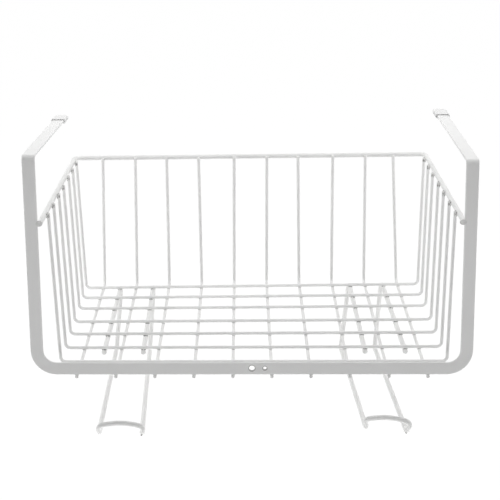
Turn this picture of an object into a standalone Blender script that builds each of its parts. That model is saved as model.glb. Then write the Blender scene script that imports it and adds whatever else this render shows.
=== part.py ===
"""Under shelf basket: a flat strip frame whose arms lie on a shelf, and a welded wire basket below.

Everything is laid out in the frame's own axes: X to the right, Y back from the strip's front face
and Z up from the strip's bottom edge. One empty then carries all pieces to the object's origin, which
lies on the ground, midway between the sides and between the front and the back.
"""

from math import asin, ceil, cos, pi, radians, sin, tan

import bmesh
import bpy
from mathutils import Quaternion, Vector

# Flat strip of the front frame
STRIP_WIDTH = 0.012
STRIP_THICKNESS = 0.0025
STRIP_EDGE_RADIUS = 0.0011
FRAME_WIDTH = 0.412
FRAME_HEIGHT = 0.2078
CORNER_OUTER_RADIUS = 0.024
SHOULDER_INNER_RADIUS = 0.003
ARM_LENGTH = 0.202
ARM_TOE_IN = 0.0036

# Two holes in the bottom bar, measured from the strip's middle and its bottom edge
HOLE_HEIGHT = 0.0065
MIDDLE_HOLE_DIAMETER = 0.0055
SIDE_HOLE_DIAMETER = 0.0036
HOLE_SPACING = 0.0121

# The legs, shoulders and arms were bent by hand. A leg's top leans in by a share of the frame's height,
# a shoulder is higher by a share of that height, and an arm rises by a share of its length.
LEFT_LEAN_SHARE = 0.0
RIGHT_LEAN_SHARE = 0.0135
LEFT_SHOULDER_SHARE = 0.0101
RIGHT_SHOULDER_SHARE = -0.0101
LEFT_ARM_RISE_SHARE = -0.026
RIGHT_ARM_RISE_SHARE = 0.027

# Plastic sleeve on each arm
CAP_GRIP = 0.020
CAP_END_WALL = 0.0012
CAP_WALL = 0.0008
CAP_FIT_GAP = 0.0003
CAP_EDGE_RADIUS = 0.0016

# Steel wire
ROD_DIAMETER = 0.005
WIRE_DIAMETER = 0.0033
BRACKET_DIAMETER = 0.005
WIRE_BEND_RADIUS = 0.005
WELD_GAP = 0.0002
WELD_SINK = 0.0005
CUT_OVERRUN = 0.002

# Rim rod, round the top of the basket on its sides and back
RIM_HEIGHT = 0.1475
RIM_FALL = 0.0020
RIM_DEPTH = 0.2796
RIM_BEND_RADIUS = 0.005

# Cross wires, which run down one side, across the floor and up the other side
CROSS_WIRES = 7
CROSS_FRONT_MARGIN = 0.0301
CROSS_BACK_MARGIN = 0.0202
SIDE_FLARE = 0.0041
FLOOR_DRIFT = 0.0022

# Long wires, which run from the bottom bar to the back and up to the rim
LONG_WIRES = 10
LONG_SIDE_MARGIN = 0.0200
LONG_DRIFT = 0.0005
BACK_LEAN = 0.0066

# The rod stands higher on the right than on the left, at its front ends and at its rear, and so does the
# floor at its rear. The floor also rises a little to its rear, which stands to the left of its front.
ROD_FRONT_TWIST = 0.0015
ROD_REAR_TWIST = 0.0042
FLOOR_TWIST = 0.0048
FLOOR_RISE = 0.0005
BASKET_SKEW = 0.0015

# Brackets, each one wire welded below the floor. Its legs straddle a long wire, counted from the side,
# and start under a cross wire, counted from the front.
BRACKET_STRADDLED_WIRE = 1
BRACKET_START_WIRE = 1
BRACKET_SPACING = 0.038
BRACKET_DROP = 0.0592
BRACKET_BACK_REACH = 0.0026
BRACKET_FOOT_SETBACK = 0.0485
BRACKET_TIP_SETBACK = 0.0055
ARCH_SETBACK = 0.003
BRACKET_BACK_RADIUS = 0.006
BRACKET_FOOT_RADIUS = 0.009
BRACKET_TIP_RADIUS = 0.0045
ARCH_RISE = 0.010
ARCH_CROWN = 0.0046
ARCH_CORNER_RADIUS = 0.005
ARCH_CROWN_RADIUS = 0.060

# How far the welded wires stray from the even layout, as the object stands.
# A cross wire strays back by a share of the spacing, counted from the front.
CROSS_STRAY_SHARES = (0.0, 0.0, 0.03, 0.01, 0.11, 0.05, -0.02)
# A long wire's top strays sideways by a share of the spacing, counted from the left.
LONG_TOP_STRAY_SHARES = (0.08, 0.05, -0.01, -0.055, 0.01, -0.01, -0.075, -0.035, -0.06, -0.23)
# A wire's end stands over the rim rod's centre line by a share of the rod's radius.
FRONT_TOP_SHARE = 1.0
BACK_TOP_SHARE = 0.2
# A bracket's centre and leg spacing, as shares of the spacing, at its start, back, foot, tip and arch.
LEFT_BRACKET_SHARES = ((0.045, 1.01), (-0.03, 0.96), (-0.095, 0.97), (0.06, 1.075), (0.085, 1.14))
RIGHT_BRACKET_SHARES = ((0.072, 1.04), (0.002, 0.96), (-0.273, 0.985), (0.01, 1.0), (0.052, 1.12))
# On a bracket's left and right: shares of the tip's setback behind the strip's face, of the arch's setback
# there and of the arch's rise over the lower legs
LEFT_FRONT_SHARES = ((1.45, 1.0, 0.91), (1.0, 0.9, 0.81))
RIGHT_FRONT_SHARES = ((3.64, 5.0, 1.05), (1.91, 1.57, 1.13))

# Fineness of the round shapes
BEND_STEP = radians(15)
SHARP_ANGLE = radians(40)
MERGE_DISTANCE = 0.000001
ROD_BEVEL_RESOLUTION = 4
WIRE_BEVEL_RESOLUTION = 2
SECTION_STEPS = 3
SHOULDER_STEPS = 6
CORNER_STEPS = 8
HOLE_SIDES = 24
CAP_END_STEPS = 6
CAP_END_SHARE = 0.98

# Places that more than one piece follows
half_width = FRAME_WIDTH / 2
rim_x = half_width - STRIP_WIDTH - ROD_DIAMETER / 2 + WELD_SINK
side_top_x = rim_x - ROD_DIAMETER / 2 - WIRE_DIAMETER / 2 + WELD_SINK
side_foot_x = side_top_x - SIDE_FLARE
long_z = -WELD_GAP - WIRE_DIAMETER / 2
cross_z = long_z + WIRE_DIAMETER + WELD_GAP
bracket_z = cross_z - WIRE_DIAMETER / 2 - WELD_GAP - BRACKET_DIAMETER / 2
foot_z = bracket_z - BRACKET_DROP
long_top_y = RIM_DEPTH - ROD_DIAMETER / 2 - WELD_GAP - WIRE_DIAMETER / 2
long_foot_y = long_top_y + BACK_LEAN
cross_first_y = CROSS_FRONT_MARGIN
cross_last_y = long_foot_y - CROSS_BACK_MARGIN
cross_pitch = (cross_last_y - cross_first_y) / (CROSS_WIRES - 1)
long_last_x = side_foot_x - LONG_SIDE_MARGIN
long_pitch = 2 * long_last_x / (LONG_WIRES - 1)
bracket_x = long_last_x - BRACKET_STRADDLED_WIRE * long_pitch
back_y = long_foot_y + WIRE_DIAMETER / 2
ground_z = foot_z - BRACKET_DIAMETER / 2


def remove_all():
    for obj in list(bpy.data.objects):
        bpy.data.objects.remove(obj)


def coat(name, colour, roughness):
    """A plain dielectric surface."""
    material = bpy.data.materials.new(name)
    material.use_nodes = True
    shader = material.node_tree.nodes["Principled BSDF"]
    shader.inputs["Base Color"].default_value = (*colour, 1)
    shader.inputs["Roughness"].default_value = roughness
    shader.inputs["Metallic"].default_value = 0
    return material


def powder_coat(name):
    """White powder coat over steel."""
    return coat(name, (0.86, 0.86, 0.85), 0.38)


def cap_plastic(name):
    """White soft plastic."""
    return coat(name, (0.9, 0.9, 0.9), 0.5)


def origin_empty():
    """The empty that carries every piece from the frame's axes to the object's origin."""
    empty = bpy.data.objects.new("basket_origin", None)
    empty.location = (0, -back_y / 2, -ground_z)
    bpy.context.scene.collection.objects.link(empty)
    return empty


def add_object(name, data, material, parent):
    obj = bpy.data.objects.new(name, data)
    data.materials.append(material)
    obj.parent = parent
    bpy.context.scene.collection.objects.link(obj)
    return obj


def twist(front, rear, x, y):
    """How much higher a twisted basket stands at this place than an even one would."""
    return (front + (rear - front) * y / long_foot_y) / 2 * x / side_foot_x


def rod_lift(x, y):
    return twist(ROD_FRONT_TWIST, ROD_REAR_TWIST, x, y)


def floor_lift(x, y):
    return twist(0, FLOOR_TWIST, x, y) + FLOOR_RISE * y / long_foot_y


def skew(y):
    """How far to the right the welded basket stands at this depth."""
    return -BASKET_SKEW * y / long_foot_y


def rim_z(y):
    """Height of the rim rod's centre line, before the twist."""
    return RIM_HEIGHT - RIM_FALL * y / RIM_DEPTH


def wire_top_z(x, y):
    """Height at which a wire's end stops beside the rim rod."""
    share = FRONT_TOP_SHARE + (BACK_TOP_SHARE - FRONT_TOP_SHARE) * y / RIM_DEPTH
    return rim_z(y) + share * ROD_DIAMETER / 2 + rod_lift(x, y)


def fillet(before, corner, after, radius):
    """Points of the arc that rounds one corner of a bent wire."""
    into = (corner - before).normalized()
    out = (after - corner).normalized()
    turn = into.angle(out)
    centre = corner + (out - into).normalized() * radius / cos(turn / 2)
    start = corner - into * radius * tan(turn / 2) - centre
    axis = into.cross(out)
    steps = max(2, ceil(turn / BEND_STEP))
    return [centre + Quaternion(axis, turn * i / steps) @ start for i in range(steps + 1)]


def bent_route(corners, radii):
    """A wire's centre line: straight runs between the corners, each of which has its bend radius."""
    places = [Vector(corner) for corner in corners]
    route = [places[0]]
    for before, corner, after, radius in zip(places, places[1:], places[2:], radii):
        route += fillet(before, corner, after, radius)
    return route + [places[-1]]


def round_curve(name, route, diameter, resolution):
    """A round wire along the route, cut square at both ends."""
    curve = bpy.data.curves.new(name, "CURVE")
    curve.dimensions = "3D"
    curve.bevel_depth = diameter / 2
    curve.bevel_resolution = resolution
    curve.use_fill_caps = True
    spline = curve.splines.new("POLY")
    spline.points.add(len(route) - 1)
    for point, place in zip(spline.points, route):
        point.co = (*place, 1)
    return curve


def round_mesh(name, route, diameter, resolution):
    """The same wire as a closed mesh, which a cutter can cut."""
    source = bpy.data.objects.new(name + "_curve", round_curve(name, route, diameter, resolution))
    mesh = bpy.data.meshes.new_from_object(source)
    bpy.data.objects.remove(source)
    body = bmesh.new()
    body.from_mesh(mesh)
    bmesh.ops.remove_doubles(body, verts=body.verts, dist=MERGE_DISTANCE)
    bmesh.ops.recalc_face_normals(body, faces=body.faces)
    body.to_mesh(mesh)
    body.free()
    return mesh


def wire(name, route, diameter, resolution, parent):
    curve = round_curve(name, route, diameter, resolution)
    return add_object(name, curve, powder_coat(name + "_coat"), parent)


def seated_wire(name, route, seat, parent):
    """A thin wire whose ends are cut to sit in the rim rod's side, as a weld sinks them."""
    mesh = round_mesh(name, route, WIRE_DIAMETER, WIRE_BEVEL_RESOLUTION)
    mesh.set_sharp_from_angle(angle=SHARP_ANGLE)
    cut(add_object(name, mesh, powder_coat(name + "_coat"), parent), seat)


def rounded_section(width, thickness, radius, steps):
    """Points round a flat strip's cross section: first across it, then through its thickness."""
    inner_u = width / 2 - radius
    inner_v = thickness / 2 - radius
    points = []
    for quarter, (side_u, side_v) in enumerate(((1, 1), (-1, 1), (-1, -1), (1, -1))):
        for step in range(steps + 1):
            angle = (quarter + step / steps) * pi / 2
            points.append((side_u * inner_u + radius * cos(angle), side_v * inner_v + radius * sin(angle)))
    return points


def swept_mesh(name, stations):
    """A closed mesh through the stations. Each holds its centre, two directions and a section's points."""
    mesh = bpy.data.meshes.new(name)
    body = bmesh.new()
    loops = [
        [body.verts.new(centre + across * u + outward * v) for u, v in section]
        for centre, across, outward, section in stations
    ]
    for loop, following in zip(loops, loops[1:]):
        for i in range(len(loop)):
            body.faces.new((loop[i - 1], loop[i], following[i], following[i - 1]))
    body.faces.new(loops[0])
    body.faces.new(loops[-1])
    bmesh.ops.recalc_face_normals(body, faces=body.faces)
    body.to_mesh(mesh)
    body.free()
    mesh.shade_smooth()
    mesh.set_sharp_from_angle(angle=SHARP_ANGLE)
    return mesh


class Arm:
    """One leg and arm of the frame. side is -1 on the left and 1 on the right."""

    def __init__(self, side, lean_share, shoulder_share, rise_share):
        self.side = side
        self.lean = asin(lean_share)
        self.slope = asin(rise_share)
        self.forward = Vector((0, -1, 0))
        self.up = Vector((0, 0, 1))
        self.across = Vector((side, 0, 0))
        top_z = FRAME_HEIGHT * (1 + shoulder_share)
        bend_z = top_z - STRIP_THICKNESS - SHOULDER_INNER_RADIUS
        foot = self.corner_place(-self.lean)[0]
        bend_x = foot.x - side * (bend_z - foot.z) * tan(self.lean)
        self.bend = Vector((bend_x, STRIP_THICKNESS + SHOULDER_INNER_RADIUS, bend_z))
        self.outward = self.normal(pi / 2 - self.slope)
        self.start = self.shoulder(pi / 2 - self.slope)
        self.length = ARM_LENGTH - STRIP_THICKNESS - SHOULDER_INNER_RADIUS
        self.cap_mouth = self.length - CAP_GRIP
        toe_in = Vector((-side * ARM_TOE_IN / self.length, 0, 0))
        self.along = Vector((0, cos(self.slope), sin(self.slope))) + toe_in

    def corner_place(self, angle):
        """The strip's place in the bottom corner, where the angle runs from the leg to the bottom bar."""
        middle_x = self.side * (half_width - CORNER_OUTER_RADIUS)
        middle = Vector((middle_x, STRIP_THICKNESS / 2, CORNER_OUTER_RADIUS))
        across = self.across * cos(angle) - self.up * sin(angle)
        return middle + across * (CORNER_OUTER_RADIUS - STRIP_WIDTH / 2), across, self.forward

    def normal(self, angle):
        """Way out of the strip's front and top face at this angle of the shoulder."""
        return self.forward * cos(angle) + self.up * sin(angle)

    def shoulder(self, angle):
        return self.bend + self.normal(angle) * (SHOULDER_INNER_RADIUS + STRIP_THICKNESS / 2)

    def place(self, distance):
        return self.start + self.along * distance


def half_strip_places(arm):
    """Centre line of half the strip from the arm's end to the bottom bar, with its two directions."""
    places = [(arm.place(arm.length), arm.across, arm.outward)]
    for i in range(SHOULDER_STEPS + 1):
        angle = (pi / 2 - arm.slope) * (1 - i / SHOULDER_STEPS)
        places.append((arm.shoulder(angle), arm.across, arm.normal(angle)))
    for i in range(CORNER_STEPS + 1):
        places.append(arm.corner_place((arm.lean + pi / 2) * i / CORNER_STEPS - arm.lean))
    return places


def hole_cutter(name, x, diameter, parent):
    """A cylinder through the bottom bar."""
    mesh = bpy.data.meshes.new(name)
    body = bmesh.new()
    bmesh.ops.create_cone(
        body,
        cap_ends=True,
        segments=HOLE_SIDES,
        radius1=diameter / 2,
        radius2=diameter / 2,
        depth=STRIP_THICKNESS + 2 * CUT_OVERRUN,
    )
    body.to_mesh(mesh)
    body.free()
    cutter = bpy.data.objects.new(name, mesh)
    cutter.location = (x, STRIP_THICKNESS / 2, HOLE_HEIGHT)
    cutter.rotation_euler.x = pi / 2
    return hide_cutter(cutter, parent)


def hide_cutter(cutter, parent):
    cutter.parent = parent
    cutter.hide_render = True
    cutter.display_type = "WIRE"
    bpy.context.scene.collection.objects.link(cutter)
    return cutter


def cut(obj, cutter):
    modifier = obj.modifiers.new("cut_" + cutter.name, "BOOLEAN")
    modifier.operation = "DIFFERENCE"
    modifier.solver = "EXACT"
    modifier.object = cutter


def front_frame(left_arm, right_arm, seat, parent):
    """One flat strip: arm, shoulder, leg, bottom bar, leg, shoulder and arm. Its legs seat the rim rod."""
    section = rounded_section(STRIP_WIDTH, STRIP_THICKNESS, STRIP_EDGE_RADIUS, SECTION_STEPS)
    places = half_strip_places(right_arm) + half_strip_places(left_arm)[::-1]
    mesh = swept_mesh("front_frame", [(*place, section) for place in places])
    frame = add_object("front_frame", mesh, powder_coat("front_frame_coat"), parent)
    cut(frame, hole_cutter("middle_hole", 0, MIDDLE_HOLE_DIAMETER, parent))
    cut(frame, hole_cutter("side_hole", HOLE_SPACING, SIDE_HOLE_DIAMETER, parent))
    cut(frame, seat)


def arm_cap(name, arm, parent):
    """A sleeve pushed over the arm's end, with a round nose."""
    pocket_width = STRIP_WIDTH + 2 * CAP_FIT_GAP
    pocket_thickness = STRIP_THICKNESS + 2 * CAP_FIT_GAP
    width = pocket_width + 2 * CAP_WALL
    thickness = pocket_thickness + 2 * CAP_WALL
    pocket_end = arm.length + CAP_FIT_GAP
    nose = pocket_end + CAP_END_WALL
    full = rounded_section(width, thickness, CAP_EDGE_RADIUS, SECTION_STEPS)
    stations = [(arm.place(arm.cap_mouth), arm.across, arm.outward, full)]
    for i in range(CAP_END_STEPS + 1):
        angle = pi / 2 * CAP_END_SHARE * i / CAP_END_STEPS
        narrowed = [(u * cos(angle), v * cos(angle) ** (1 / 2)) for u, v in full]
        stations.append((arm.place(nose + width / 2 * sin(angle)), arm.across, arm.outward, narrowed))
    cap = add_object(name, swept_mesh(name, stations), cap_plastic(name + "_plastic"), parent)
    pocket_radius = STRIP_EDGE_RADIUS + CAP_FIT_GAP
    pocket = rounded_section(pocket_width, pocket_thickness, pocket_radius, SECTION_STEPS)
    ends = (arm.cap_mouth - CUT_OVERRUN, pocket_end)
    pocket_stations = [(arm.place(end), arm.across, arm.outward, pocket) for end in ends]
    pocket_mesh = swept_mesh(name + "_pocket", pocket_stations)
    cut(cap, hide_cutter(bpy.data.objects.new(name + "_pocket", pocket_mesh), parent))


def rim_route(start_y):
    """The rim rod's centre line, from start_y beside the left leg round the back to the right leg."""
    corners = [
        (side * rim_x + skew(y), y, rim_z(y) + rod_lift(side * rim_x, y))
        for side, y in ((-1, start_y), (-1, RIM_DEPTH), (1, RIM_DEPTH), (1, start_y))
    ]
    return bent_route(corners, [RIM_BEND_RADIUS] * 2)


def rim_rod(parent):
    """The thick rod round the sides and the back, whose front ends are welded to the frame's legs."""
    wire("rim_rod", rim_route(0), ROD_DIAMETER, ROD_BEVEL_RESOLUTION, parent)


def rim_seat(parent):
    """The rod's shape with the weld's gap round it, which cuts the seats in the legs and the cross wires."""
    route = rim_route(-CUT_OVERRUN)
    mesh = round_mesh("rim_seat", route, ROD_DIAMETER + 2 * WELD_GAP, ROD_BEVEL_RESOLUTION)
    return hide_cutter(bpy.data.objects.new("rim_seat", mesh), parent)


def cross_y(number):
    return cross_first_y + (number + CROSS_STRAY_SHARES[number]) * cross_pitch


def cross_wire(number, seat, parent):
    """One wire across the basket, counted from the front."""
    y = cross_y(number)
    foot_drift = FLOOR_DRIFT + skew(y)
    corners = (
        (skew(y) - side_top_x, y, wire_top_z(-side_top_x, y)),
        (foot_drift - side_foot_x, y, cross_z + floor_lift(-side_foot_x, y)),
        (foot_drift + side_foot_x, y, cross_z + floor_lift(side_foot_x, y)),
        (skew(y) + side_top_x, y, wire_top_z(side_top_x, y)),
    )
    seated_wire(f"cross_wire_{number + 1}", bent_route(corners, [WIRE_BEND_RADIUS] * 2), seat, parent)


def long_wire(number, parent):
    """One wire from the bottom bar to the back and up to the rim, counted from the left."""
    x = number * long_pitch - long_last_x + LONG_DRIFT
    foot_x = x + skew(long_foot_y)
    top_x = foot_x + LONG_TOP_STRAY_SHARES[number] * long_pitch
    corners = (
        (x, 0, long_z),
        (foot_x, long_foot_y, long_z + floor_lift(foot_x, long_foot_y)),
        (top_x, long_top_y, wire_top_z(top_x, long_top_y)),
    )
    route = bent_route(corners, [WIRE_BEND_RADIUS])
    wire(f"long_wire_{number + 1}", route, WIRE_DIAMETER, WIRE_BEVEL_RESOLUTION, parent)


def bracket(name, side, shares, front_shares, parent):
    """One wire: two legs under the floor, two drops, two lower legs and an arch that joins them."""
    start_y = cross_y(BRACKET_START_WIRE) - WIRE_DIAMETER / 2
    bend_y = long_foot_y + BRACKET_BACK_REACH
    foot_y = bend_y - BRACKET_FOOT_SETBACK
    halves = []
    for leg, (tip_share, setback_share, rise_share) in zip((-1, 1), front_shares):
        places = (
            (start_y, bracket_z, True),
            (bend_y, bracket_z, True),
            (foot_y, foot_z, False),
            (BRACKET_TIP_SETBACK * tip_share, foot_z, False),
            (ARCH_SETBACK * setback_share, foot_z + ARCH_RISE * rise_share, False),
        )
        half = []
        for (y, z, welded), (centre, spacing) in zip(places, shares):
            x = side * bracket_x + LONG_DRIFT + BRACKET_SPACING * (centre + leg * spacing / 2)
            half.append((x, y, z + (floor_lift(x, y) if welded else 0)))
        halves.append(half)
    left, right = halves
    crown = Vector(left[-1]).lerp(Vector(right[-1]), 1 / 2) + Vector((0, 0, ARCH_CROWN))
    leg_radii = [BRACKET_BACK_RADIUS, BRACKET_FOOT_RADIUS, BRACKET_TIP_RADIUS, ARCH_CORNER_RADIUS]
    radii = leg_radii + [ARCH_CROWN_RADIUS] + leg_radii[::-1]
    route = bent_route(left + [crown] + right[::-1], radii)
    wire(name, route, BRACKET_DIAMETER, ROD_BEVEL_RESOLUTION, parent)


def build_basket():
    origin = origin_empty()
    left_arm = Arm(-1, LEFT_LEAN_SHARE, LEFT_SHOULDER_SHARE, LEFT_ARM_RISE_SHARE)
    right_arm = Arm(1, RIGHT_LEAN_SHARE, RIGHT_SHOULDER_SHARE, RIGHT_ARM_RISE_SHARE)
    seat = rim_seat(origin)
    front_frame(left_arm, right_arm, seat, origin)
    arm_cap("left_arm_cap", left_arm, origin)
    arm_cap("right_arm_cap", right_arm, origin)
    rim_rod(origin)
    for number in range(CROSS_WIRES):
        cross_wire(number, seat, origin)
    for number in range(LONG_WIRES):
        long_wire(number, origin)
    bracket("left_bracket", -1, LEFT_BRACKET_SHARES, LEFT_FRONT_SHARES, origin)
    bracket("right_bracket", 1, RIGHT_BRACKET_SHARES, RIGHT_FRONT_SHARES, origin)


remove_all()
build_basket()
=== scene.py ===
# %% [markdown]
# A white wire basket that hangs below a shelf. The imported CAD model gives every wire's true place,
# and this lesson gives the wires round bends, welds, a coating and studio light.

from math import ceil, pi, radians, tan

import bpy
from mathutils import Matrix, Vector


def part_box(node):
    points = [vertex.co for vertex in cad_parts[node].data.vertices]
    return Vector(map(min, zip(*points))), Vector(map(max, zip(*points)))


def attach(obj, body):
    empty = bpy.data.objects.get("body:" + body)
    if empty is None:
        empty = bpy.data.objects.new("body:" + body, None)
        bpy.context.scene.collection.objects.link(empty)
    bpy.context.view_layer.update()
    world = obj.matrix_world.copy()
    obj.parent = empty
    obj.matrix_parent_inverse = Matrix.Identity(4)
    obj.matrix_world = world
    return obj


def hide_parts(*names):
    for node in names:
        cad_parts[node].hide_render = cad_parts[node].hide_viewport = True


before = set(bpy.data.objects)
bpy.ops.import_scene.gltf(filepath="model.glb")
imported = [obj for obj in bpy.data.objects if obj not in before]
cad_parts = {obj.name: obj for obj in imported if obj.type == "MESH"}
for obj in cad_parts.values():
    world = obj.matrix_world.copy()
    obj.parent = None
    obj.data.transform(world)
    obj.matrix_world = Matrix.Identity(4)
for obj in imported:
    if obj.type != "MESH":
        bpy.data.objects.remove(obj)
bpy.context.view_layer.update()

# %% [markdown]
# The basket is laid out from its strip: X to the right, Y back from the strip's front face and Z up
# from its bottom edge. The CAD model stands on the ground with its middle at zero, so each place
# below is written in the strip's axes and then moved by one offset.

# %% Sizes of the basket
ORIGIN = Vector((0, -0.14175, 0.0644))
STRIP_THICKNESS = 0.0025
ROD = 0.005
WIRE = 0.0033
GAP = 0.0002
SINK = 0.0005
PIN = 0.005

RIM_X = 0.192
RIM_DEPTH = 0.2796
RIM_HEIGHT = 0.1475
RIM_FALL = 0.002

SIDE_SLANT = 0.0041
SIDE_TOP_X = RIM_X - ROD / 2 - WIRE / 2 + SINK
SIDE_FOOT_X = SIDE_TOP_X - SIDE_SLANT
BACK_SLANT = 0.0066
LONG_TOP_Y = RIM_DEPTH - ROD / 2 - GAP - WIRE / 2
LONG_FOOT_Y = LONG_TOP_Y + BACK_SLANT
LONG_Z = -GAP - WIRE / 2
CROSS_Z = LONG_Z + WIRE + GAP

CROSS_COUNT = 7
CROSS_FIRST_Y = 0.0301
CROSS_LAST_SETBACK = 0.0202
CROSS_PITCH = (LONG_FOOT_Y - CROSS_LAST_SETBACK - CROSS_FIRST_Y) / (CROSS_COUNT - 1)
CROSS_FOOT_SHIFT = 0.0022

LONG_COUNT = 10
LONG_MARGIN = 0.02
LONG_LAST_X = SIDE_FOOT_X - LONG_MARGIN
LONG_PITCH = 2 * LONG_LAST_X / (LONG_COUNT - 1)
LONG_SHIFT = 0.0005

BRACKET_X = LONG_LAST_X - LONG_PITCH
BRACKET_SPACING = 0.038
BRACKET_DROP = 0.0592
BRACKET_SLANT = 0.0485
BRACKET_REAR_Y = LONG_FOOT_Y + 0.0026
BRACKET_Z = CROSS_Z - WIRE / 2 - GAP - ROD / 2
FOOT_Z = BRACKET_Z - BRACKET_DROP
print("cross wires every", round(CROSS_PITCH * 1000, 1), "mm")
print("long wires every", round(LONG_PITCH * 1000, 1), "mm")

# %% [markdown]
# The real basket was bent and welded by hand, so it is a little twisted and askew, and no wire
# stands quite in its row. A twist is given as two rises of the right side over the left one, at the
# front and at the rear. A wire's stray is a share of its row's pitch. A bracket's two legs have a
# middle and a distance at each of five corners, from the upper legs' ends to the arch, both as
# shares of the bracket's spacing.

# %% Strays of hand bending
ROD_TWIST = (0.0015, 0.0042)
FLOOR_TWIST = (0, 0.0048)
FLOOR_RISE = 0.0005
SKEW = 0.0015
TOP_SINK = 0.8
CROSS_STRAYS = (0, 0, 0.03, 0.01, 0.11, 0.05, -0.02)
LONG_TOP_STRAYS = (0.08, 0.05, -0.01, -0.055, 0.01, -0.01, -0.075, -0.035, -0.06, -0.23)
LEFT_BRACKET = ((0.045, 1.01), (-0.03, 0.96), (-0.095, 0.97), (0.06, 1.075), (0.085, 1.14))
RIGHT_BRACKET = ((0.072, 1.04), (0.002, 0.96), (-0.273, 0.985), (0.01, 1.0), (0.052, 1.12))


def twist(rises, x, y):
    """How far the twist lifts a place: half of it up on the right, half of it down on the left."""
    front, rear = rises
    return (front + (rear - front) * y / LONG_FOOT_Y) / 2 * (x / SIDE_FOOT_X)


def rod_lift(x, y):
    return twist(ROD_TWIST, x, y)


def wire_lift(x, y):
    return twist(FLOOR_TWIST, x, y) + FLOOR_RISE * y / LONG_FOOT_Y


def skew(y):
    return -SKEW * y / LONG_FOOT_Y


def rim_z(y):
    return RIM_HEIGHT - RIM_FALL * y / RIM_DEPTH


def wire_top_z(x, y):
    """A wire's upper end is level with the rod's top at the front and sinks towards the rear."""
    return rim_z(y) + (1 - TOP_SINK * y / RIM_DEPTH) * ROD / 2 + rod_lift(x, y)


# %% [markdown]
# Every wire starts as a straight cut length, and a bending machine turns it round a pin at each
# corner. The mesh is made the same way: a circle is extruded along the straight run, spun round the
# pin's centre and extruded again. A curve with a bevel would be quicker to draw, but the spun tube
# has even rings in its bends and plain quads that shade as a round wire should.

# %% Helpers for wires
WIRE_SIDES = 16
ROD_SIDES = 24
BEND_STEP = radians(11)
FEWEST_STEPS = 2
MERGE = 0.000001
CUT_EDGE = 0.06
TRUE_EDGE = radians(60)


def nothing_selected():
    if bpy.context.mode != "OBJECT":
        bpy.ops.object.mode_set(mode="OBJECT")
    bpy.ops.object.select_all(action="DESELECT")


def only_selected(piece):
    nothing_selected()
    piece.select_set(True)
    bpy.context.view_layer.objects.active = piece


def push(way):
    bpy.ops.mesh.extrude_region_move(TRANSFORM_OT_translate={"value": way})


def settle(piece, smooth=40):
    """The piece's place goes into its mesh, and its shading becomes smooth but for true edges."""
    only_selected(piece)
    bpy.ops.object.transform_apply(location=True, rotation=True, scale=True)
    bpy.ops.object.shade_smooth_by_angle(angle=radians(smooth))
    return piece


def apply_modifier(piece, kind, **settings):
    only_selected(piece)
    modifier = piece.modifiers.new(kind.lower(), kind)
    for name, value in settings.items():
        setattr(modifier, name, value)
    bpy.ops.object.modifier_apply(modifier=modifier.name)


def soften_edges(piece, width, segments):
    apply_modifier(
        piece, "BEVEL", width=width, segments=segments, limit_method="ANGLE", angle_limit=TRUE_EDGE
    )


def bent_wire(name, corners, radii, diameter, sides=WIRE_SIDES):
    """A round wire, bent at its corners and cut at both ends, where the coating rounds its edge."""
    places = [Vector(corner) + ORIGIN for corner in corners]
    nothing_selected()
    facing = (places[1] - places[0]).to_track_quat("Z", "Y").to_euler()
    bpy.ops.mesh.primitive_circle_add(
        vertices=sides, radius=diameter / 2, location=places[0], rotation=facing
    )
    wire = bpy.context.object
    wire.name = name
    bpy.ops.object.mode_set(mode="EDIT")
    here = places[0]
    for before, corner, after, radius in zip(places, places[1:], places[2:], radii):
        into = (corner - before).normalized()
        out = (after - corner).normalized()
        turn = into.angle(out)
        setback = radius * tan(turn / 2)
        start = corner - into * setback
        push(start - here)
        centre = start + (out - into * into.dot(out)).normalized() * radius
        steps = max(FEWEST_STEPS, ceil(turn / BEND_STEP))
        bpy.ops.mesh.spin(steps=steps, angle=-turn, center=centre, axis=into.cross(out))
        here = corner + out * setback
    push(places[-1] - here)
    bpy.ops.mesh.select_all(action="SELECT")
    bpy.ops.mesh.remove_doubles(threshold=MERGE)
    bpy.ops.mesh.fill_holes(sides=0)
    bpy.ops.mesh.select_all(action="SELECT")
    bpy.ops.mesh.normals_make_consistent(inside=False)
    bpy.ops.object.mode_set(mode="OBJECT")
    settle(wire)
    soften_edges(wire, diameter * CUT_EDGE, 3)
    return settle(wire)


dressed = []


def stands_for(piece, node):
    """The piece takes the CAD node's place, and both sizes are compared."""
    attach(piece, "root")
    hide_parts(node)
    low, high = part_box(node)
    corners = [vertex.co for vertex in piece.data.vertices]
    off = max(
        max(abs(min(co[i] for co in corners) - low[i]), abs(max(co[i] for co in corners) - high[i]))
        for i in range(3)
    )
    faces = len(piece.data.polygons)
    print(piece.name, faces, "faces,", round(off * 1000, 2), "mm from its CAD box")
    dressed.append(piece)
    return piece


# %% [markdown]
# The rim is one 5 mm rod. It starts beside the left leg of the strip, runs back, crosses behind the
# basket and comes forward again. All the thin wires are welded to it, so it is bent first.

# %% Rim rod
rim_corners = [
    (side * RIM_X + skew(y), y, rim_z(y) + rod_lift(side * RIM_X, y))
    for side, y in ((-1, 0), (-1, RIM_DEPTH), (1, RIM_DEPTH), (1, 0))
]
rim = stands_for(bent_wire("rim_rod_bent", rim_corners, [PIN] * 2, ROD, ROD_SIDES), "rim_rod")

# %% [markdown]
# Seven cross wires make the sides and half of the floor grid. Each one drops from the rim, turns
# round a 5 mm pin, crosses the floor and rises to the rim again. They differ a little because each
# was bent and placed by hand, so each is bent here from its own four corners.

# %% Cross wires
cross_y = [
    CROSS_FIRST_Y + (number + stray) * CROSS_PITCH for number, stray in enumerate(CROSS_STRAYS)
]


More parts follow.
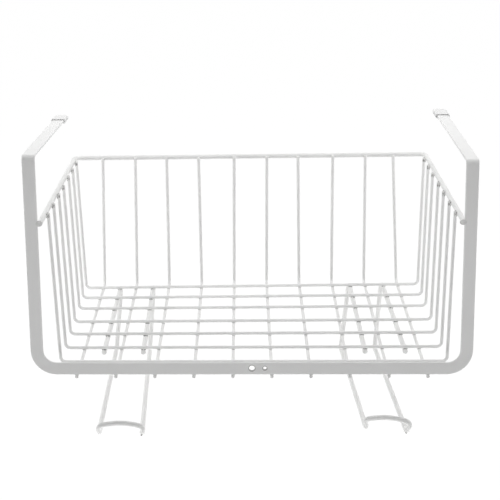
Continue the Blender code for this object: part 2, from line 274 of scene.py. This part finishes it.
def cross_corners(y):
    foot = CROSS_FOOT_SHIFT + skew(y)
    return (
        (skew(y) - SIDE_TOP_X, y, wire_top_z(-SIDE_TOP_X, y)),
        (foot - SIDE_FOOT_X, y, CROSS_Z + wire_lift(-SIDE_FOOT_X, y)),
        (foot + SIDE_FOOT_X, y, CROSS_Z + wire_lift(SIDE_FOOT_X, y)),
        (skew(y) + SIDE_TOP_X, y, wire_top_z(SIDE_TOP_X, y)),
    )


cross_wires = []
for number, y in enumerate(cross_y, 1):
    piece = bent_wire(f"cross_wire_{number}_bent", cross_corners(y), [PIN] * 2, WIRE)
    cross_wires.append(stands_for(piece, f"cross_wire_{number}"))

# %% [markdown]
# Ten long wires make the other half of the floor and the back. They start under the strip's bottom
# bar, where their cut ends show, run under the cross wires and turn up to the rim's rear.

# %% Long wires
long_x = [number * LONG_PITCH - LONG_LAST_X + LONG_SHIFT for number in range(LONG_COUNT)]
long_tops = []
long_wires = []
for number, (x, stray) in enumerate(zip(long_x, LONG_TOP_STRAYS), 1):
    foot_x = x + skew(LONG_FOOT_Y)
    foot = Vector((foot_x, LONG_FOOT_Y, LONG_Z + wire_lift(foot_x, LONG_FOOT_Y)))
    top = Vector((foot_x + stray * LONG_PITCH, LONG_TOP_Y, 0))
    top.z = wire_top_z(top.x, LONG_TOP_Y)
    long_tops.append(top)
    piece = bent_wire(f"long_wire_{number}_bent", ((x, 0, LONG_Z), foot, top), [PIN], WIRE)
    long_wires.append(stands_for(piece, f"long_wire_{number}"))

# %% [markdown]
# Each bracket is one 5 mm wire with nine bends. Its two upper legs are welded under the floor, then
# it drops, runs forward and closes in front with a low arch over which flat things slide in.

# %% Brackets
LEG_PINS = [0.006, 0.009, 0.0045, 0.005]
CROWN_PIN = 0.06
CROWN_RISE = 0.0046


def bracket_corners(side, shares, tips_y, arch_rises, arches_y):
    """The eleven corners from the left upper leg's end round the arch to the right one's end."""
    halves = []
    for leg, tip_y, arch_rise, arch_y in zip((-1, 1), tips_y, arch_rises, arches_y):
        places = (
            (cross_y[1] - WIRE / 2, BRACKET_Z, 1),
            (BRACKET_REAR_Y, BRACKET_Z, 1),
            (BRACKET_REAR_Y - BRACKET_SLANT, FOOT_Z, 0),
            (tip_y, FOOT_Z, 0),
            (arch_y, FOOT_Z + arch_rise, 0),
        )
        half = []
        for (y, z, lifted), (middle, apart) in zip(places, shares):
            x = side * BRACKET_X + LONG_SHIFT + BRACKET_SPACING * (middle + leg * apart / 2)
            half.append((x, y, z + lifted * wire_lift(x, y)))
        halves.append(half)
    left, right = halves
    crown = Vector(left[-1]).lerp(Vector(right[-1]), 0.5) + Vector((0, 0, CROWN_RISE))
    return left + [crown] + right[::-1]


left_corners = bracket_corners(
    -1,
    LEFT_BRACKET,
    tips_y=(0.007975, 0.0055),
    arch_rises=(0.0091, 0.0081),
    arches_y=(0.003, 0.0027),
)
right_corners = bracket_corners(
    1,
    RIGHT_BRACKET,
    tips_y=(0.02002, 0.010505),
    arch_rises=(0.0105, 0.0113),
    arches_y=(0.015, 0.00471),
)
brackets = []
for name, corners in (("left_bracket", left_corners), ("right_bracket", right_corners)):
    pins = LEG_PINS + [CROWN_PIN] + LEG_PINS[::-1]
    brackets.append(stands_for(bent_wire(name + "_bent", corners, pins, ROD, ROD_SIDES), name))

# %% [markdown]
# The front frame is one flat strip, 12 by 2.5 mm, bent twice on edge and twice on its flat. Its CAD
# shape is right, holes and notches included. A copy of that mesh is merged, turned back into quads
# and given face-weighted normals, so that the flats stay flat and only the edges shade round.

# %% Front frame
FACET_MERGE = 0.000002
EDGE_SMOOTH = 42


def merged_copy(node, name):
    piece = bpy.data.objects.new(name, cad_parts[node].data.copy())
    bpy.context.scene.collection.objects.link(piece)
    piece.data.materials.clear()
    only_selected(piece)
    bpy.ops.mesh.customdata_custom_splitnormals_clear()
    bpy.ops.object.mode_set(mode="EDIT")
    bpy.ops.mesh.select_all(action="SELECT")
    bpy.ops.mesh.remove_doubles(threshold=FACET_MERGE)
    bpy.ops.mesh.tris_convert_to_quads(face_threshold=radians(1), shape_threshold=pi)
    bpy.ops.object.mode_set(mode="OBJECT")
    return settle(piece, EDGE_SMOOTH)


def keep_flats(piece):
    apply_modifier(piece, "WEIGHTED_NORMAL", keep_sharp=True, weight=60)


strip = merged_copy("front_frame", "front_frame_strip")
keep_flats(strip)
stands_for(strip, "front_frame")

# %% [markdown]
# A soft plastic sleeve is pushed over each arm's end, so that it neither marks the shelf nor slips
# off. Its mouth is a thin wall with a soft edge, which the bevel gives.

# %% Arm caps
CAP_EDGE = 0.00025
CAP_SMOOTH = 50
caps = []
for node in ("left_arm_cap", "right_arm_cap"):
    cap = merged_copy(node, node + "_sleeve")
    soften_edges(cap, CAP_EDGE, 2)
    settle(cap, CAP_SMOOTH)
    keep_flats(cap)
    caps.append(stands_for(cap, node))

# %% [markdown]
# The wires are spot welded. Current and pressure melt the two wires where they cross, a little
# metal is squeezed out round the place, and the powder fills the last corner. What shows is a small
# cushion with four sides between the wires. One cushion is modelled from a sphere: flattened, its
# sides pulled in along the wires, and then copied to every crossing.

# %% One weld cushion
BALL = {"segments": 16, "ring_count": 8}
WAIST = 0.72
CORNER = 0.34
POLE = 0.0001


def weld_cushion(name, across, along, thick):
    """A pad between two wires that cross: longest towards its four corners, hollow at its sides."""
    nothing_selected()
    bpy.ops.mesh.primitive_uv_sphere_add(radius=1, **BALL)
    pad = bpy.context.object
    pad.name = name
    bpy.ops.object.mode_set(mode="EDIT")
    bpy.ops.mesh.select_all(action="SELECT")
    bpy.ops.transform.resize(value=(across, along, thick))
    bpy.ops.object.mode_set(mode="OBJECT")
    settle(pad)
    for vertex in pad.data.vertices:
        u, v = vertex.co.x / across, vertex.co.y / along
        reach = u * u + v * v
        cornered = 2 * abs(u * v) / reach if reach > POLE else 0
        vertex.co.x *= WAIST + CORNER * cornered
        vertex.co.y *= WAIST + CORNER * cornered
    return pad


def placed_copies(pattern, name, places):
    """A copy of the pattern at every place, each with a mesh of its own, joined as one piece."""
    copies = []
    for place in places:
        copy = pattern.copy()
        copy.data = pattern.data.copy()
        bpy.context.scene.collection.objects.link(copy)
        copy.data.transform(Matrix.Translation(Vector(place) + ORIGIN))
        copies.append(copy)
    nothing_selected()
    for copy in copies:
        copy.select_set(True)
    bpy.context.view_layer.objects.active = copies[0]
    bpy.ops.object.join()
    welds = bpy.context.object
    welds.name = name
    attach(welds, "root")
    print(name, len(places), "places")
    return welds


# %% Welds of the floor grid
def floor_z(x, y):
    return -GAP / 2 + wire_lift(x, y)


floor_pad = weld_cushion("floor_pad", across=0.0019, along=0.0019, thick=0.0008)
floor_places = []
for y in cross_y:
    for x in long_x:
        cross_x = x + skew(y)
        floor_places.append((cross_x, y, floor_z(cross_x, y)))
floor_welds = placed_copies(floor_pad, "floor_welds", floor_places)

# %% Welds of the brackets
# These cushions are painted dark: painted shade for the dark spots where the legs meet the cross
# wires.
bracket_pad = weld_cushion("bracket_pad", across=0.0026, along=0.0021, thick=0.0010)
bracket_places = []
for corners in (left_corners, right_corners):
    for start, bend in ((corners[0], corners[1]), (corners[-1], corners[-2])):
        for y in cross_y[1:]:
            share = (y - start[1]) / (bend[1] - start[1])
            x = start[0] + (bend[0] - start[0]) * share
            bracket_places.append((x, y, floor_z(x, y)))
bracket_welds = placed_copies(bracket_pad, "bracket_welds", bracket_places)

# %% [markdown]
# Where a side wire ends at the rim, the weld wraps the wire's last 6 mm, in the crook between wire
# and rod. It is the same cushion, made tall, and its dark finish is painted shade for the shadow in
# that crook. The rear wires and the bottom bar have smaller ones.

# %% Welds of the rim and the bottom bar
SIDE_WELD_OUT = 0.0002
SIDE_WELD_DOWN = 0.0029
BACK_WELD_DOWN = 0.0008
side_pad = weld_cushion("side_pad", across=0.0019, along=0.0022, thick=0.0034)
side_places = []
for y in cross_y:
    for side in (-1, 1):
        x = side * (SIDE_TOP_X + SIDE_WELD_OUT) + skew(y)
        side_places.append((x, y, wire_top_z(x, y) - SIDE_WELD_DOWN))
side_welds = placed_copies(side_pad, "side_welds", side_places)

back_pad = weld_cushion("back_pad", across=0.0027, along=0.0012, thick=0.0017)
back_y = RIM_DEPTH - ROD / 2 - GAP / 2
back_places = [
    (top.x, back_y, rim_z(back_y) + rod_lift(top.x, back_y) - BACK_WELD_DOWN) for top in long_tops
]
back_welds = placed_copies(back_pad, "back_welds", back_places)

bar_pad = weld_cushion("bar_pad", across=0.0022, along=0.0011, thick=0.0007)
bar_places = [(x, STRIP_THICKNESS / 2 + GAP / 2, -GAP / 2) for x in long_x]
bar_welds = placed_copies(bar_pad, "bar_welds", bar_places)

# %% [markdown]
# The rod's two front ends are welded into the legs' notches and dressed flush with the strip's
# face. Such a weld shows as an oval that covers the rod's end and runs a little way onto the leg. It
# is a short cylinder, stretched to an oval and laid so that its flat side just covers both.

# %% Welds of the rod's ends
FLUSH = 0.00002
OVAL = (0.0031, 0.0026, 1)
OVAL_DEPTH = 0.0012
OVAL_EDGE = 0.0002
OVAL_LEFT = 0.0009
OVAL_DOWN = 0.0004
nothing_selected()
bpy.ops.mesh.primitive_cylinder_add(
    vertices=32, radius=1, depth=OVAL_DEPTH, end_fill_type="NGON"
)
end_pad = bpy.context.object
end_pad.name = "end_pad"
end_pad.scale = OVAL
end_pad.rotation_euler.x = pi / 2
settle(end_pad)
soften_edges(end_pad, OVAL_EDGE, 2)
settle(end_pad)
end_places = []
for side in (-1, 1):
    end_z = rim_z(0) + rod_lift(side * RIM_X, 0)
    end_places.append((side * RIM_X - OVAL_LEFT, OVAL_DEPTH / 2 - FLUSH, end_z - OVAL_DOWN))
end_welds = placed_copies(end_pad, "rod_end_welds", end_places)

# %% [markdown]
# The basket was hung up by its rim to be coated. Powder that ran while it was baked left one small
# drip on the lowest bend of each bracket: a ball whose upper half is drawn out to a tail. It is
# painted near black, painted shade for the dark spot at the bottom of that bend.

# %% Coating drips
DRIP = 0.0009
DRIP_TAIL = (-0.7, -0.5, 0.7)
DRIP_OFFSET = Vector((-0.0004, -0.0012, -0.0010))
RIGHT_TIP = 7
nothing_selected()
bpy.ops.mesh.primitive_uv_sphere_add(radius=DRIP, **BALL)
drip = bpy.context.object
drip.name = "drip"
for vertex in drip.data.vertices:
    rise = max(vertex.co.z / DRIP, 0)
    for axis, change in enumerate(DRIP_TAIL):
        vertex.co[axis] *= 1 + change * rise
settle(drip)
drip_places = [
    Vector(corners[RIGHT_TIP]) + DRIP_OFFSET for corners in (left_corners, right_corners)
]
drips = placed_copies(drip, "coating_drips", drip_places)
for pattern in (floor_pad, bracket_pad, side_pad, back_pad, bar_pad, end_pad, drip):
    bpy.data.objects.remove(pattern)

# %% [markdown]
# Powder coat is sprayed as dry powder and baked, and on fine wire it keeps three marks: a fine
# ripple like orange peel, a slow drift of tone where the layer is thinner, and patches that shine
# more than others. All finishes here share them, so they are one node group with its own values in
# each.

# %% Shared coating group
COLOUR_A, COLOUR_B, COLOUR_OUT = 6, 7, 2


def colour_mix(nodes):
    """A colour mix. Its colour sockets share their names with others, so they go by number."""
    mix = nodes.new("ShaderNodeMix")
    mix.data_type = "RGBA"
    return mix


def coating_group():
    group = bpy.data.node_groups.new("baked_coating", "ShaderNodeTree")
    face = group.interface
    for label, kind, value in (
        ("Vector", "NodeSocketVector", (0, 0, 0)),
        ("Full Tone", "NodeSocketColor", (0.9, 0.9, 0.9, 1)),
        ("Thin Tone", "NodeSocketColor", (0.8, 0.8, 0.8, 1)),
        ("Drift Scale", "NodeSocketFloat", 20),
        ("Ripple Scale", "NodeSocketFloat", 800),
        ("Smooth", "NodeSocketFloat", 0.35),
        ("Dull", "NodeSocketFloat", 0.45),
    ):
        face.new_socket(label, in_out="INPUT", socket_type=kind).default_value = value
    for label, kind in (
        ("Tone", "NodeSocketColor"),
        ("Roughness", "NodeSocketFloat"),
        ("Height", "NodeSocketFloat"),
    ):
        face.new_socket(label, in_out="OUTPUT", socket_type=kind)
    nodes, link = group.nodes, group.links.new
    given = nodes.new("NodeGroupInput")
    result = nodes.new("NodeGroupOutput")
    drift = nodes.new("ShaderNodeTexNoise")
    drift.inputs["Detail"].default_value = 3
    link(given.outputs["Vector"], drift.inputs["Vector"])
    link(given.outputs["Drift Scale"], drift.inputs["Scale"])
    spread = nodes.new("ShaderNodeMapRange")
    spread.inputs["From Min"].default_value = 0.35
    spread.inputs["From Max"].default_value = 0.65
    link(drift.outputs["Fac"], spread.inputs["Value"])
    tone = colour_mix(nodes)
    link(spread.outputs["Result"], tone.inputs["Factor"])
    link(given.outputs["Thin Tone"], tone.inputs[COLOUR_A])
    link(given.outputs["Full Tone"], tone.inputs[COLOUR_B])
    ripple = nodes.new("ShaderNodeTexNoise")
    ripple.inputs["Detail"].default_value = 2
    link(given.outputs["Vector"], ripple.inputs["Vector"])
    link(given.outputs["Ripple Scale"], ripple.inputs["Scale"])
    shine = nodes.new("ShaderNodeMapRange")
    link(drift.outputs["Fac"], shine.inputs["Value"])
    link(given.outputs["Smooth"], shine.inputs["To Min"])
    link(given.outputs["Dull"], shine.inputs["To Max"])
    link(tone.outputs[COLOUR_OUT], result.inputs["Tone"])
    link(shine.outputs["Result"], result.inputs["Roughness"])
    link(ripple.outputs["Fac"], result.inputs["Height"])
    return group


baked_coating = coating_group()
print("group", baked_coating.name, len(baked_coating.nodes), "nodes")

# %% Finishes


def open_tree(owner):
    """The nodes of a material or a world, and the way to link them."""
    owner.use_nodes = True
    return owner.node_tree.nodes, owner.node_tree.links.new


def finish_of(name, full, thin, scales, roughness, bump_depth, bump_strength, mirror=0.5):
    """A white finish: the shared group drives colour, roughness and bump of one shader."""
    material = bpy.data.materials.new(name)
    nodes, link = open_tree(material)
    shader = nodes["Principled BSDF"]
    place = nodes.new("ShaderNodeTexCoord")
    coating = nodes.new("ShaderNodeGroup")
    coating.node_tree = baked_coating
    for label, value in (
        ("Full Tone", (*full, 1)),
        ("Thin Tone", (*thin, 1)),
        ("Drift Scale", scales[0]),
        ("Ripple Scale", scales[1]),
        ("Smooth", roughness[0]),
        ("Dull", roughness[1]),
    ):
        coating.inputs[label].default_value = value
    link(place.outputs["Object"], coating.inputs["Vector"])
    bump = nodes.new("ShaderNodeBump")
    bump.inputs["Distance"].default_value = bump_depth
    bump.inputs["Strength"].default_value = bump_strength
    link(coating.outputs["Height"], bump.inputs["Height"])
    shader.inputs["Specular IOR Level"].default_value = mirror
    link(coating.outputs["Tone"], shader.inputs["Base Color"])
    link(coating.outputs["Roughness"], shader.inputs["Roughness"])
    link(bump.outputs["Normal"], shader.inputs["Normal"])
    return material


def coat(pieces, material):
    for piece in pieces:
        piece.data.materials.clear()
        piece.data.materials.append(material)


wire_coat = finish_of(
    "wire_powder_coat",
    full=(0.88, 0.88, 0.87),
    thin=(0.85, 0.85, 0.845),
    scales=(22, 900),
    roughness=(0.34, 0.46),
    bump_depth=0.00006,
    bump_strength=0.3,
    mirror=0.25,
)
strip_coat = finish_of(
    "strip_powder_coat",
    full=(0.87, 0.87, 0.865),
    thin=(0.85, 0.85, 0.845),
    scales=(14, 700),
    roughness=(0.30, 0.40),
    bump_depth=0.00006,
    bump_strength=0.15,
    mirror=0.25,
)
weld_coat = finish_of(
    "weld_powder_coat",
    full=(0.84, 0.84, 0.83),
    thin=(0.68, 0.68, 0.67),
    scales=(260, 1400),
    roughness=(0.42, 0.62),
    bump_depth=0.0002,
    bump_strength=0.7,
)
# Painted shade: this finish's dark patches stand in for the shadow at the side wires' tops and under
# the brackets' crossings.
weld_painted_shade_coat = finish_of(
    "painted_shade_weld",
    full=(0.80, 0.80, 0.79),
    thin=(0.20, 0.20, 0.195),
    scales=(600, 1400),
    roughness=(0.42, 0.62),
    bump_depth=0.0002,
    bump_strength=0.7,
)
# Painted shade: the drips' near-black tone stands in for the dark spot at the bottom of each
# bracket's bend.
drip_painted_shade_coat = finish_of(
    "painted_shade_drip",
    full=(0.30, 0.30, 0.29),
    thin=(0.12, 0.12, 0.115),
    scales=(300, 1400),
    roughness=(0.30, 0.45),
    bump_depth=0.0001,
    bump_strength=0.4,
)
cap_plastic = finish_of(
    "cap_plastic",
    full=(0.84, 0.84, 0.835),
    thin=(0.81, 0.81, 0.81),
    scales=(40, 2600),
    roughness=(0.48, 0.58),
    bump_depth=0.00004,
    bump_strength=0.3,
    mirror=0.25,
)

coat([rim, *cross_wires, *long_wires, *brackets], wire_coat)
coat([strip], strip_coat)
coat([floor_welds, back_welds, bar_welds, end_welds], weld_coat)
# The side and bracket welds carry painted shade.
coat([side_welds, bracket_welds], weld_painted_shade_coat)
# The drips carry painted shade.
coat([drips], drip_painted_shade_coat)
coat(caps, cap_plastic)
print(len(dressed), "pieces stand for CAD nodes")

# %% [markdown]
# Each hole has a thin darker ring round it, painted shade for the hole's edge and inner wall, which
# fall into shadow. The ring is a mask in the strip's finish, made from the distance to the hole's
# middle as it is seen from the front.

# %% Painted shade round the holes
HOLES = ((0, 0.00275), (0.0121, 0.0018))
HOLE_Z = 0.0065
RING_START = 0.0003
RING_END = 0.0009
# The tone of the painted shade round the holes.
HOLE_SHADE_TONE = (0.45, 0.45, 0.44, 1)


def step(nodes, kind, operation):
    """A math or vector math node, set to one operation."""
    node = nodes.new(kind)
    node.operation = operation
    return node


nodes, link = open_tree(strip_coat)
place = next(node for node in nodes if node.type == "TEX_COORD")
coating = next(node for node in nodes if node.type == "GROUP")
both = step(nodes, "ShaderNodeMath", "MAXIMUM")
for (hole_x, hole_radius), socket in zip(HOLES, both.inputs):
    from_middle = step(nodes, "ShaderNodeVectorMath", "SUBTRACT")
    from_middle.inputs[1].default_value = Vector((hole_x, 0, HOLE_Z)) + ORIGIN
    link(place.outputs["Object"], from_middle.inputs[0])
    flat = step(nodes, "ShaderNodeVectorMath", "MULTIPLY")
    flat.inputs[1].default_value = (1, 0, 1)
    link(from_middle.outputs[0], flat.inputs[0])
    distance = step(nodes, "ShaderNodeVectorMath", "LENGTH")
    link(flat.outputs[0], distance.inputs[0])
    shade_ring = nodes.new("ShaderNodeMapRange")
    shade_ring.inputs["From Min"].default_value = hole_radius + RING_START
    shade_ring.inputs["From Max"].default_value = hole_radius + RING_END
    shade_ring.inputs["To Min"].default_value = 1
    shade_ring.inputs["To Max"].default_value = 0
    link(distance.outputs["Value"], shade_ring.inputs["Value"])
    link(shade_ring.outputs["Result"], socket)
# The painted shade darkens the strip's tone inside each ring.
hole_shaded = colour_mix(nodes)
hole_shaded.inputs[COLOUR_B].default_value = HOLE_SHADE_TONE
link(both.outputs[0], hole_shaded.inputs["Factor"])
link(coating.outputs["Tone"], hole_shaded.inputs[COLOUR_A])
link(hole_shaded.outputs[COLOUR_OUT], nodes["Principled BSDF"].inputs["Base Color"])
print(len(HOLES), "rings")

# %% [markdown]
# The studio is a wide pale table under a surround that the camera sees as plain white. The table
# shows itself white in the same way, but a small share of it stays real paint, which keeps the
# object's soft shadow. Its glow is as much stronger as its share is smaller.

# %% Floor
GLOW_SHARE = 0.95
GLOW = 1.05
nothing_selected()
bpy.ops.mesh.primitive_circle_add(vertices=96, radius=6, fill_type="TRIFAN", location=(0, 0, 0))
floor = bpy.context.object
floor.name = "studio_floor"


def white_to_camera(nodes, link):
    """1 for rays that show the surround itself: the camera's, and those mirrored or let through."""
    path = nodes.new("ShaderNodeLightPath")
    seen = step(nodes, "ShaderNodeMath", "MAXIMUM")
    link(path.outputs["Is Camera Ray"], seen.inputs[0])
    link(path.outputs["Is Glossy Ray"], seen.inputs[1])
    shown = step(nodes, "ShaderNodeMath", "MAXIMUM")
    link(seen.outputs[0], shown.inputs[0])
    link(path.outputs["Is Transmission Ray"], shown.inputs[1])
    return shown


floor_paint = bpy.data.materials.new("floor_paint")
nodes, link = open_tree(floor_paint)
paint = nodes["Principled BSDF"]
paint.inputs["Base Color"].default_value = (0.9, 0.9, 0.9, 1)
paint.inputs["Roughness"].default_value = 0.9
paint.inputs["Specular IOR Level"].default_value = 0
glow = nodes.new("ShaderNodeEmission")
glow.inputs["Strength"].default_value = GLOW
share = step(nodes, "ShaderNodeMath", "MULTIPLY")
share.inputs[1].default_value = GLOW_SHARE
mix = nodes.new("ShaderNodeMixShader")
link(white_to_camera(nodes, link).outputs[0], share.inputs[0])
link(share.outputs[0], mix.inputs[0])
link(paint.outputs[0], mix.inputs[1])
link(glow.outputs[0], mix.inputs[2])
link(mix.outputs[0], nodes["Material Output"].inputs["Surface"])
floor.data.materials.append(floor_paint)
print("floor", floor.name)

# %% Surround
world = bpy.data.worlds.new("studio")
bpy.context.scene.world = world
nodes, link = open_tree(world)
dim = nodes["Background"]
white = nodes.new("ShaderNodeBackground")
for background, strength in ((dim, 0.02), (white, 1)):
    background.inputs["Color"].default_value = (1, 1, 1, 1)
    background.inputs["Strength"].default_value = strength
pick = nodes.new("ShaderNodeMixShader")
link(white_to_camera(nodes, link).outputs[0], pick.inputs[0])
link(dim.outputs[0], pick.inputs[1])
link(white.outputs[0], pick.inputs[2])
link(pick.outputs[0], nodes["World Output"].inputs["Surface"])
print("surround", world.name)

# %% [markdown]
# A wire in the photo is an even grey from side to side and lighter below, and the strip's face is
# darker than the wires far behind it. That is the light of long soft boxes which hang across the
# basket, of a table that glows under it and in front, and of a small box close to each side. So
# each lamp here is a panel. The powers come from lighting the scene with one panel at a time and
# weighing the panels until the wires, the strip and the arms had their tones.

# %% Lamps
TABLE_TOP = 0.0005


def soft_panel(name, place, target, size, power):
    lamp = bpy.data.lights.new(name, "AREA")
    lamp.shape = "RECTANGLE"
    lamp.size, lamp.size_y = size
    lamp.energy = power
    holder = bpy.data.objects.new(name, lamp)
    holder.location = place
    holder.rotation_euler = (Vector(target) - Vector(place)).to_track_quat("-Z", "Y").to_euler()
    holder.visible_camera = False
    bpy.context.scene.collection.objects.link(holder)


def table_panel(name, y, size, power):
    """A part of the table's top that shines straight up."""
    soft_panel(name, (0, y, TABLE_TOP), (0, y, 1), size, power)


soft_panel("high_box", (0, -0.3, 1.1), (0, -0.3, 0), size=(1.8, 0.45), power=5.9)
soft_panel("low_box", (0, 0.15, 0.7), (0, 0.15, 0), size=(1.0, 0.5), power=2.1)
soft_panel("rear_box", (0, 0.65, 0.7), (0, 0.3, 0), size=(1.0, 0.4), power=0.75)
table_panel("front_table", -0.65, size=(1.6, 0.7), power=3.7)
table_panel("near_table", -0.165, size=(1.0, 0.07), power=0.12)
table_panel("under_table", 0.085, size=(1.6, 0.43), power=0.8)
for name, x, power in (("left_side_box", -0.5, 0.93), ("right_side_box", 0.5, 0.77)):
    soft_panel(name, (x, 0.12, 0.18), (0, 0.12, 0.18), size=(0.6, 0.3), power=power)

# %% [markdown]
# The camera's place and tilt come from fitting a pinhole camera to the places of the strip, the rim
# and the wires in the photo. It stands 1.2 m in front of the strip and looks down by 16.6 degrees.

# %% Camera
LOOK_DOWN = 16.6333
LOOK_RIGHT = 0.0831
lens = bpy.data.cameras.new("photo_camera")
lens.sensor_width = 36
lens.lens = 100.8
lens.shift_x = -0.0008
lens.shift_y = 0.0005
camera = bpy.data.objects.new("photo_camera", lens)
bpy.context.scene.collection.objects.link(camera)
camera.location = Vector((-0.0032, -1.22039, 0.486128)) + ORIGIN
camera.rotation_euler = (radians(90 - LOOK_DOWN), 0, radians(-LOOK_RIGHT))
bpy.context.scene.camera = camera
bpy.context.scene.view_settings.view_transform = "Standard"
print("camera", camera.name, "with a lens of", round(lens.lens, 1), "mm")
